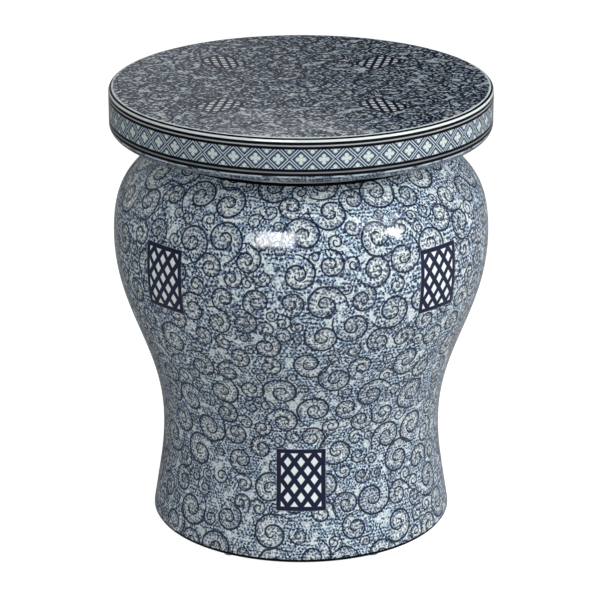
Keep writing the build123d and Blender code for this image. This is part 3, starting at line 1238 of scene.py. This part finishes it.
@dataclass
class CapSeat:
    """The cap seat: a flat plate with a rounded skirt, and a ring that drops into the neck. Millimetres."""

    height: float = 457.0
    radius: float = 192.0
    underside: float = 446.0
    skirt_underside: float = 412.0
    skirt_inner_radius: float = 180.0
    top_round: float = 4.5
    lower_round: float = 9.0
    lip_round: float = 2.5
    corner_round: float = 8.0
    ring_radius: float = 123.0
    ring_inner_radius: float = 115.0
    ring_bottom: float = 424.0
    ring_round: float = 2.0
    columns: int = 448
    crest_reach: float = 112.0
    crest_scale: float = 0.76
    edge_line_width: float = 2.3
    rim_line_width: float = 2.9
    top_rings: int = 73
    rim_line_drops: tuple[float, ...] = (5.0, 9.2, 31.2, 35.5)
    fillet: float = 3.0
    strip_start: float = 34.0
    strip_depth: float = 18.0
    strip_sizes: tuple[CurlSize, ...] = (CurlSize(5.5, 7.5, 260.0), CurlSize(3.8, 5.0, 300.0))
    place_seed: int = 5
    curl_seed: int = 31
    strip_seed: int = 37
    curl_places: int = 30000
    strip_places: int = 12000
    flat_disc: tuple[float, float] = (0.368, 0.633)
    flat_radius: float = 0.362
    flat_strips: tuple[float, float] = (0.258, 0.128)
    flat_strip: float = 0.118
    flat_under: tuple[float, float] = (0.745, 0.28)
    flat_under_size: tuple[float, float] = (0.25, 0.71)

    def outline(self) -> Outline:
        """From the axis along the underside, round the ring and the skirt, up the rim and back over the top."""
        made = Outline()
        corners = [(0.0, self.underside), (self.ring_inner_radius, self.underside),
                   (self.ring_inner_radius, self.ring_bottom), (self.ring_radius, self.ring_bottom),
                   (self.ring_radius, self.underside), (self.skirt_inner_radius, self.underside),
                   (self.skirt_inner_radius, self.skirt_underside), (self.radius, self.skirt_underside),
                   (self.radius, self.height), (0.0, self.height)]
        rounds = (self.fillet, self.ring_round, self.ring_round, self.fillet, self.corner_round,
                  self.lip_round, self.lower_round, self.top_round)
        counts = (4, 4, 4, 4, 6, 5, 9, 11)
        between = (7, 3, 2, 3, 8, 4, 2, 15)
        zones = [Zone.PLAIN] * 6 + [Zone.RIM] * 2
        made.add(np.array(corners[:1]), Zone.PLAIN)
        for number, (radius, count, steps, zone) in enumerate(zip(rounds, counts, between, zones), 1):
            made.round_off(rounded(*corners[number - 1:number + 2], radius, count), steps, zone)
        made.add(straight(made.points[-1][-1], corners[-1], self.top_rings), Zone.PAINTED)
        return made

    def build(self, groups: dict[str, bpy.types.NodeTree], palette: Palette) -> bpy.types.Object:
        """Turns the seat, lays its scrolls and crests, and dresses it.

        Args:
            groups: Effects that the finishes share.
            palette: Colours of the painting.

        Returns:
            The seat.
        """
        lathe = Lathe("cap_seat", self.outline(), self.columns, False)
        line, rows, angle = lathe.line, lathe.rows, lathe.angle
        run = run_of(line)[-1] - run_of(line)
        face_zone = lathe.zones[np.minimum.reduceat(rows, lathe.starts)]
        top = face_zone == Zone.PAINTED.value
        on_top = np.repeat(top, lathe.sides)
        flat_x, flat_y = line[rows, 0] * np.sin(angle), -line[rows, 0] * np.cos(angle)
        chart = np.column_stack([np.where(on_top, flat_x, angle * self.radius),
                                 np.where(on_top, flat_y, run[rows]), run[rows]])
        lathe.hold_corners("chart", chart)
        middles = lathe.face_mean(chart[:, :2])
        self.lay_scrolls(lathe, middles, top, face_zone == Zone.RIM.value)
        turned = np.round((np.arctan2(middles[:, 0], -middles[:, 1]) / FULL_TURN * 4) - 0.5) + 0.5
        facing = np.repeat(turned * FULL_TURN / 4, lathe.sides)
        across = flat_x * np.cos(facing) + flat_y * np.sin(facing)
        out = flat_x * np.sin(facing) - flat_y * np.cos(facing)
        steps = np.column_stack([across, out - self.crest_reach, 0 * out])
        lathe.hold_corners("crest", steps / self.crest_scale)
        self.lay_out(lathe, run, face_zone)
        turn = FULL_TURN * self.radius
        # Painted shade in part: bigger dark dots, a harder press and dots kept on the cream make the top's paint
        # darker than the jar's, for the weaker light on the top.
        scrolls = ScrollPaint(palette, groups, stripes=self.edge_lines(palette), turn=turn, dots_around=190,
                              press=1.3, dot_size=1.45, speck_size=1.12, bare_cream=0.0)
        drops = self.drops(line, run)
        rim = RimPaint(palette, groups, stripes=self.rim_lines(palette, drops), band_top=drops[1],
                       band_foot=drops[2], seat_radius=self.radius, turn=turn, dots_around=274)
        lathe.dress(face_zone, {
            Zone.PAINTED: scrolls.material("seat_scroll_paint"),
            Zone.PLAIN: Glaze(palette, groups).material("seat_plain_glaze"),
            Zone.RIM: rim.material("seat_rim_paint")})
        return add_piece(lathe.mesh, "seat", ("seat_top",))

    def drops(self, line: np.ndarray, run: np.ndarray) -> list[float]:
        """Length along the outline, from the middle of the top, of each of the rim's four dark lines."""
        rim = np.flatnonzero(line[:, 0] > self.radius - 1e-6)
        heights = self.height - np.array(self.rim_line_drops)
        return np.interp(heights, line[rim, 1], run[rim]).tolist()

    def edge_lines(self, palette: Palette) -> tuple[Stripe, ...]:
        """The pale and dark lines round the top's edge."""
        edge = self.radius - self.top_round
        return (Stripe(edge + 0.6, 2.0, palette.cream, True),
                Stripe(edge + 2.7, self.edge_line_width, palette.line_ink))

    def rim_lines(self, palette: Palette, drops: list[float]) -> tuple[Stripe, ...]:
        """The top's edge lines, pale dashes low on the rim, and a dark pair above and below the lattice band."""
        return (*self.edge_lines(palette), Stripe(drops[-1] + 2.3, 1.5, palette.lattice_pale, True),
                *(Stripe(drop, self.rim_line_width, palette.line_ink) for drop in drops))

    def lay_scrolls(self, lathe: Lathe, middles: np.ndarray, top: np.ndarray, rim: np.ndarray) -> None:
        """Spreads curls over the flat top, and small ones along the strip below the rim's lines.

        Args:
            lathe: The turned seat.
            middles: Middle of each face on the chart.
            top: Which faces are on the top.
            rim: Which faces are on the rim.
        """
        rng = np.random.default_rng(self.place_seed)
        reach = self.radius * np.sqrt(rng.uniform(0, 1, self.curl_places))
        turn = rng.uniform(0, FULL_TURN, len(reach))
        points = np.column_stack([reach * np.cos(turn), reach * np.sin(turn)])
        layout = ScrollLayout(seed=self.curl_seed)
        layout.lay(points, np.ones(len(points)), math.pi * self.radius**2)
        layout.mark(lathe, middles, top)
        around = FULL_TURN * self.radius
        foot = self.radius + self.strip_start
        points = np.column_stack([rng.uniform(-around / 2, around / 2, self.strip_places),
                                  rng.uniform(foot, foot + self.strip_depth, self.strip_places)])
        strip = ScrollLayout(seed=self.strip_seed, around=around, sizes=self.strip_sizes)
        strip.lay(points, np.ones(len(points)), around * self.strip_depth)
        strip.mark(lathe, middles, rim)
        log.info("cap seat: %d curls on top, %d along the rim", len(layout.turns), len(strip.turns))

    def lay_out(self, lathe: Lathe, run: np.ndarray, face_zone: np.ndarray) -> None:
        """Flat layout: the top as a disc, the rim as two half-turn strips, and the underside in a corner.

        Args:
            lathe: The turned seat.
            run: Length along the outline at each point, from the middle of the top.
            face_zone: Zone of each face.
        """
        angle, corner_run = lathe.angle, run[lathe.rows]
        zone = np.repeat(face_zone, lathe.sides)
        top, rim = zone == Zone.PAINTED.value, zone == Zone.RIM.value
        reach = self.flat_radius * corner_run / (self.radius - self.top_round)
        disc = np.column_stack([reach * np.sin(angle), -reach * np.cos(angle)]) + self.flat_disc
        front, turned = lathe.half_turns()
        first, last = corner_run[rim].min(), corner_run[rim].max()
        down = (corner_run - first) / (last - first)
        strip = np.column_stack([FLAT_MARGIN + FLAT_WIDTH * turned / math.pi,
                                 np.where(front, *self.flat_strips) - self.flat_strip * down])
        under = (corner_run - last) / (run[0] - last)
        corner = np.column_stack([angle / FULL_TURN + 0.5, under]) * self.flat_under_size + self.flat_under
        lathe.lay_flat(np.where(top[:, None], disc, np.where(rim[:, None], strip, corner)))


@dataclass
class SoftDiscs:
    """Soft rubber discs that keep their solids and get a finish: pads under the foot, bumpers on the neck."""

    stem: str
    dark: Colour
    light: Colour
    count: int = 6
    grains: float = 1600.0
    rough: tuple[float, float] = (0.55, 0.3)

    def dress(self) -> None:
        """Gives every disc the finish."""
        material = Speckled(self.dark, self.light, self.grains, self.rough).material(self.stem + "_rubber")
        for number in range(1, self.count + 1):
            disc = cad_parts[f"{self.stem}_{number}"]
            disc.data.materials.clear()
            disc.data.materials.append(material)
            log.info("%s: dressed", disc.name)


@dataclass(frozen=True)
class Lamp:
    """One lamp: where it hangs, the point it faces, its width and height, its power in watts and its throw."""

    name: str
    place: tuple[float, float, float]
    aim: tuple[float, float, float]
    size: tuple[float, float]
    power: float
    throw: Throw

    def hang(self) -> None:
        """Puts the lamp into the scene, turned towards the point it faces."""
        light = bpy.data.lights.new(self.name, "AREA")
        light.shape = "ELLIPSE" if self.throw is Throw.ROUND else "RECTANGLE"
        light.size, light.size_y = self.size
        light.energy = self.power
        piece = into_scene(self.name, light)
        piece.location = self.place
        step = np.array(self.aim) - np.array(self.place)
        flat = math.hypot(step[0], step[1])
        piece.rotation_euler = (math.atan2(flat, -step[2]), 0.0, math.atan2(step[1], step[0]) - math.pi / 2)
        piece.visible_camera = False
        piece.visible_glossy = self.throw is not Throw.LIGHT
        piece.visible_diffuse = self.throw is Throw.LIGHT


@dataclass
class Studio:
    """Floor, lamps, surroundings and camera. Lengths are in metres."""

    floor_reach: float = 9.0
    camera_place: tuple[float, float, float] = (0.0, -2.688, 1.2118)
    camera_tilt: float = 69.874
    lens: float = 167.6
    shift: float = -0.0018
    floor_rings: int = 40
    floor_columns: int = 64
    floor_grey: float = 0.45
    floor_glow: float = 0.92
    room_grey: float = 0.12
    pale_side: float = 0.19
    dark_side: float = 0.1
    dark_back: float = 0.015
    pale_flanks: float = 0.17
    back_glow: float = 0.75
    lamps: tuple[Lamp, ...] = (
        Lamp("right_soft", (2.45, -1.41, 1.74), (0.0, 0.0, 0.3), (1.4, 1.4), 85.0, Throw.LIGHT),
        Lamp("front_soft", (0.23, -2.58, 2.18), (0.0, 0.0, 0.3), (1.4, 1.4), 11.0, Throw.LIGHT),
        Lamp("left_soft", (-1.59, -2.55, 1.39), (0.0, 0.0, 0.3), (1.4, 1.4), 27.0, Throw.LIGHT),
        Lamp("soft_box", (-0.652, -2.228, 1.826), (-0.025, -0.179, 0.353), (1.02, 1.2), 60.0, Throw.BOX),
        Lamp("small_lamp", (2.142, -1.185, 1.575), (0.089, -0.157, 0.354), (0.34, 0.7), 19.0, Throw.ROUND),
        Lamp("shoulder_sheen", (1.5, -0.95, 2.3), (0.1, -0.13, 0.375), (1.5, 1.1), 9.0, Throw.ROUND))

    def floor(self) -> None:
        """A round pale floor, a grid of angle against radius: white to the camera, with the stool's shadow."""
        rings, columns = self.floor_rings, self.floor_columns
        reach = self.floor_reach * np.linspace(0.02, 1, rings)[:, None] ** 2
        angle = np.linspace(0, FULL_TURN, columns, endpoint=False)
        points = np.stack([reach * np.cos(angle), reach * np.sin(angle), 0 * reach * angle], 2).reshape(-1, 3)
        row, column = (a.ravel() for a in np.meshgrid(np.arange(rings - 1), np.arange(columns), indexing="ij"))
        low, high, after = row * columns, (row + 1) * columns, (column + 1) % columns
        faces = np.stack([low + column, high + column, high + after, low + after], 1)
        mesh = bpy.data.meshes.new("floor")
        mesh.from_pydata(points.tolist(), [], faces.tolist() + [list(range(columns))])
        piece = into_scene("floor", mesh)
        mesh.materials.append(self.floor_finish())

    def floor_finish(self) -> bpy.types.Material:
        """Matt white, with a little light of its own towards the camera, and clear from below."""
        made, recipe, shader = new_finish("floor_white")
        shader.inputs["Roughness"].default_value = 0.9
        shader.inputs["Specular IOR Level"].default_value = 0.0
        shader.inputs["Base Color"].default_value = (self.floor_grey, self.floor_grey, self.floor_grey, 1.0)
        rays = recipe.node("ShaderNodeLightPath")
        glow = recipe.node("ShaderNodeEmission")
        recipe.feed(glow.inputs["Strength"], Term(recipe, rays.outputs["Is Camera Ray"]) * self.floor_glow)
        lit = recipe.node("ShaderNodeAddShader")
        recipe.tree.links.new(shader.outputs[0], lit.inputs[0])
        recipe.tree.links.new(glow.outputs[0], lit.inputs[1])
        clear = recipe.node("ShaderNodeBsdfTransparent")
        side = recipe.node("ShaderNodeMixShader")
        recipe.tree.links.new(recipe.node("ShaderNodeNewGeometry").outputs["Backfacing"], side.inputs[0])
        recipe.tree.links.new(lit.outputs[0], side.inputs[1])
        recipe.tree.links.new(clear.outputs[0], side.inputs[2])
        recipe.tree.links.new(side.outputs[0], recipe.tree.nodes["Material Output"].inputs["Surface"])
        return made

    def surroundings(self) -> None:
        """A grey room, which the camera sees as white.

        Behind the stool it is pale at the left and dark at the right, with a small glow that the front of the
        seat mirrors. Both flanks are paler.
        """
        world = bpy.data.worlds.new("room")
        bpy.context.scene.world = world
        world.use_nodes = True
        recipe = Recipe(world.node_tree)
        rays = recipe.node("ShaderNodeLightPath")
        sideways, depth, up = recipe.parts(Term(recipe, recipe.node("ShaderNodeTexCoord").outputs["Generated"]))
        pale = recipe.smooth(-0.03, 0.06, sideways * -1.0)
        dark = recipe.smooth(-0.07, 0.07, sideways) * (1.0 - recipe.smooth(0.2, 0.45, sideways))
        behind = self.pale_side * pale - self.dark_side * dark - self.dark_back
        room = self.room_grey + recipe.smooth(0.3, 0.9, depth) * behind
        room = room + self.pale_flanks * recipe.smooth(0.5, 0.85, abs(sideways))
        glow = recipe.smooth(0.281, 0.291, up) * (1.0 - recipe.smooth(0.014, 0.04, abs(sideways + 0.006)))
        room = room + self.back_glow * glow * (depth > 0.0)
        seen = Term(recipe, rays.outputs["Is Camera Ray"])
        strength = room + seen * (1.0 - room)
        recipe.tree.nodes["Background"].inputs["Color"].default_value = (1.0, 1.0, 1.0, 1.0)
        recipe.feed(recipe.tree.nodes["Background"].inputs["Strength"], strength)

    def camera(self) -> None:
        """A long lens in front, looking down at the stool."""
        data = bpy.data.cameras.new("camera")
        data.lens = self.lens
        data.sensor_width = 36.0
        data.shift_x = self.shift
        data.clip_end = 60.0
        piece = into_scene("camera", data)
        piece.location = self.camera_place
        piece.rotation_euler = (math.radians(self.camera_tilt), 0.0, 0.0)
        bpy.context.scene.camera = piece

    def build(self) -> None:
        """Sets the whole studio up."""
        self.floor()
        self.surroundings()
        for lamp in self.lamps:
            lamp.hang()
        self.camera()
        bpy.context.scene.view_settings.view_transform = "Standard"


def main() -> None:
    """Builds the stool's pieces in order, then the studio round them, and logs face and curl counts."""
    logging.basicConfig(level=logging.INFO, format="%(name)s: %(message)s")
    palette, brushes = Palette(), Brushes()
    groups = {"curl": brushes.curl(), "ground": brushes.ground(palette), "crest": brushes.crest(),
              "stipple": brushes.stipple(), "ripple": brushes.ripple()}
    JarBody().build(groups, palette)
    CapSeat().build(groups, palette)
    SoftDiscs("foot_pad", paint_colour(176, 178, 176), paint_colour(204, 206, 204)).dress()
    SoftDiscs("seat_bumper", paint_colour(168, 170, 170), paint_colour(196, 198, 198)).dress()
    Studio().build()


if __name__ == "__main__":
    main()
